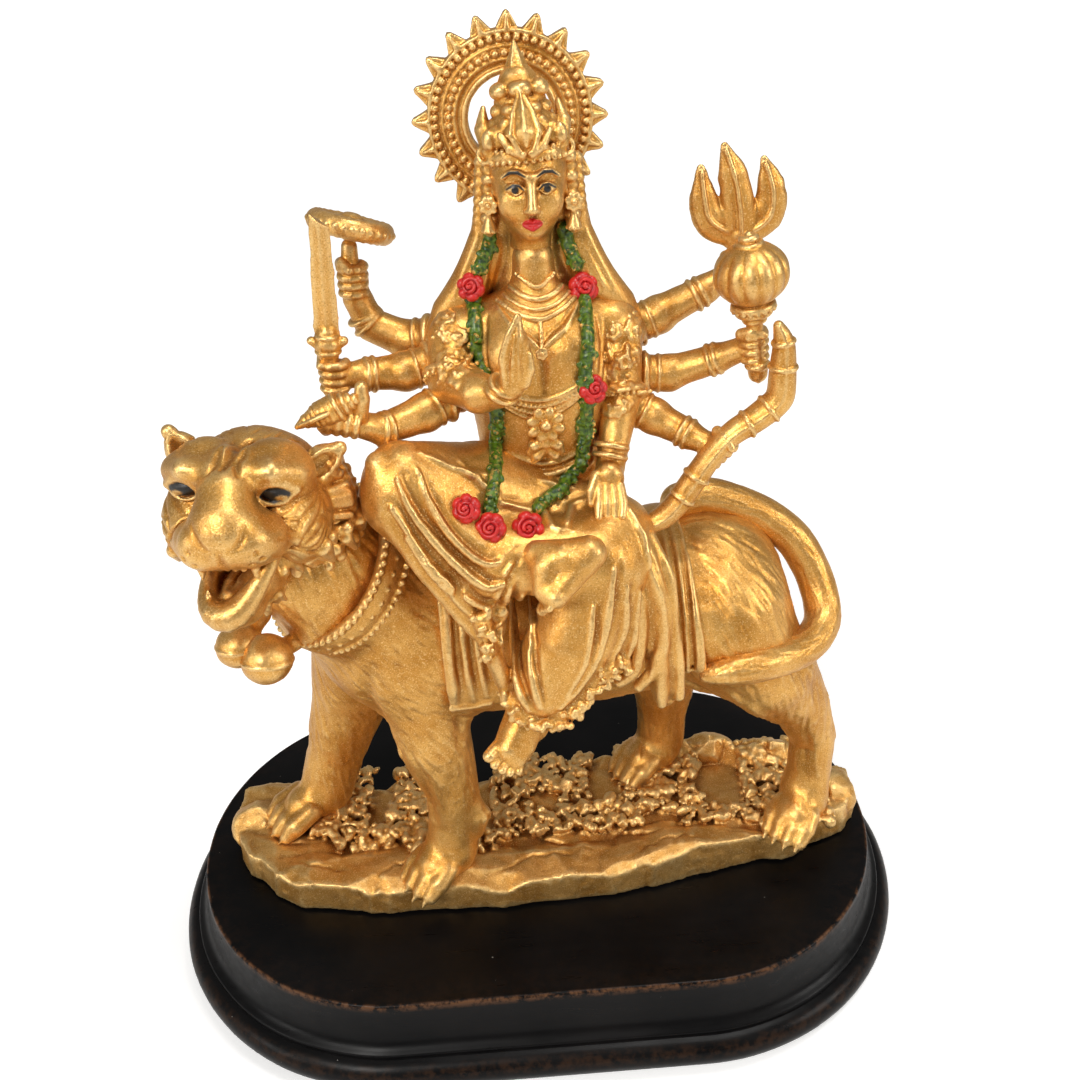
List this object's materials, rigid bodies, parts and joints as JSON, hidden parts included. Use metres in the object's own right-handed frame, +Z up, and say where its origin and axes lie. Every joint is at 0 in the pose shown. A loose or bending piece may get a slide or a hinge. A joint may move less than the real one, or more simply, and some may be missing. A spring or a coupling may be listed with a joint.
{
  "type": "deity figurine",
  "caption": "Gold-painted figurine of a many-armed goddess seated on a striding tiger, on a moulded black oval plinth, for display on a shelf or altar.",
  "frame": {"origin": "middle of the underside of the felt pad under the plinth", "axes": "+Z up; the goddess faces -Y; the tiger walks towards -X, so +X runs along the plinth's length towards the tail"},
  "size_m": [0.1308, 0.0828, 0.1525],
  "materials": {
    "plinth_lacquer": "black satin lacquer over turned and moulded wood, worn to brown on the top arris",
    "base_felt": "dark green felt (not visible, guessed)",
    "screw_steel": "plain zinc-plated steel (not visible, guessed)",
    "gold_paint": "bright metallic gold paint on cast resin, satin, fine sparkle, darker in the recesses",
    "rock_gold": "the same gold paint, a little browner and rougher on the rock",
    "face_gold": "gold paint with painted black eyes and brows and red lips",
    "tiger_face_gold": "gold paint with painted black eyes",
    "garland_green": "green paint, dry-brushed over the gold so that gold shows on the high points",
    "rose_red": "bright red paint, satin"
  },
  "bodies": {
    "root": {"arm_bow": "gold_paint", "arm_conch": "gold_paint", "arm_disc": "gold_paint", "arm_mace": "gold_paint", "arm_raised_palm": "gold_paint", "arm_resting": "gold_paint", "arm_sword": "gold_paint", "arm_trident": "gold_paint", "bow": "gold_paint", "collar_bell_left": "gold_paint", "collar_bell_right": "gold_paint", "conch": "gold_paint", "crown": "gold_paint", "disc": "gold_paint", "earring_left": "gold_paint", "earring_right": "gold_paint", "felt_pad": "base_felt", "fixing_screw_left": "screw_steel", "fixing_screw_right": "screw_steel", "folded_foot": "gold_paint", "garland_left": "garland_green", "garland_left_top": "garland_green", "garland_lower": "garland_green", "garland_right": "garland_green", "garland_right_top": "garland_green", "girdle": "gold_paint", "goddess_head": "face_gold", "goddess_torso": "gold_paint", "hair": "gold_paint", "halo": "gold_paint", "hanging_foot": "gold_paint", "mace": "gold_paint", "necklace": "gold_paint", "plinth": "plinth_lacquer", "rock_base": "rock_gold", "rose_1": "rose_red", "rose_2": "rose_red", "rose_3": "rose_red", "rose_4": "rose_red", "rose_5": "rose_red", "rose_6": "rose_red", "saddle_cloth": "gold_paint", "sash": "gold_paint", "skirt": "gold_paint", "sword": "gold_paint", "tiger_body": "gold_paint", "tiger_collar": "gold_paint", "tiger_head": "tiger_face_gold", "tiger_tail": "gold_paint", "trident": "gold_paint"}
  },
  "joints": []
}
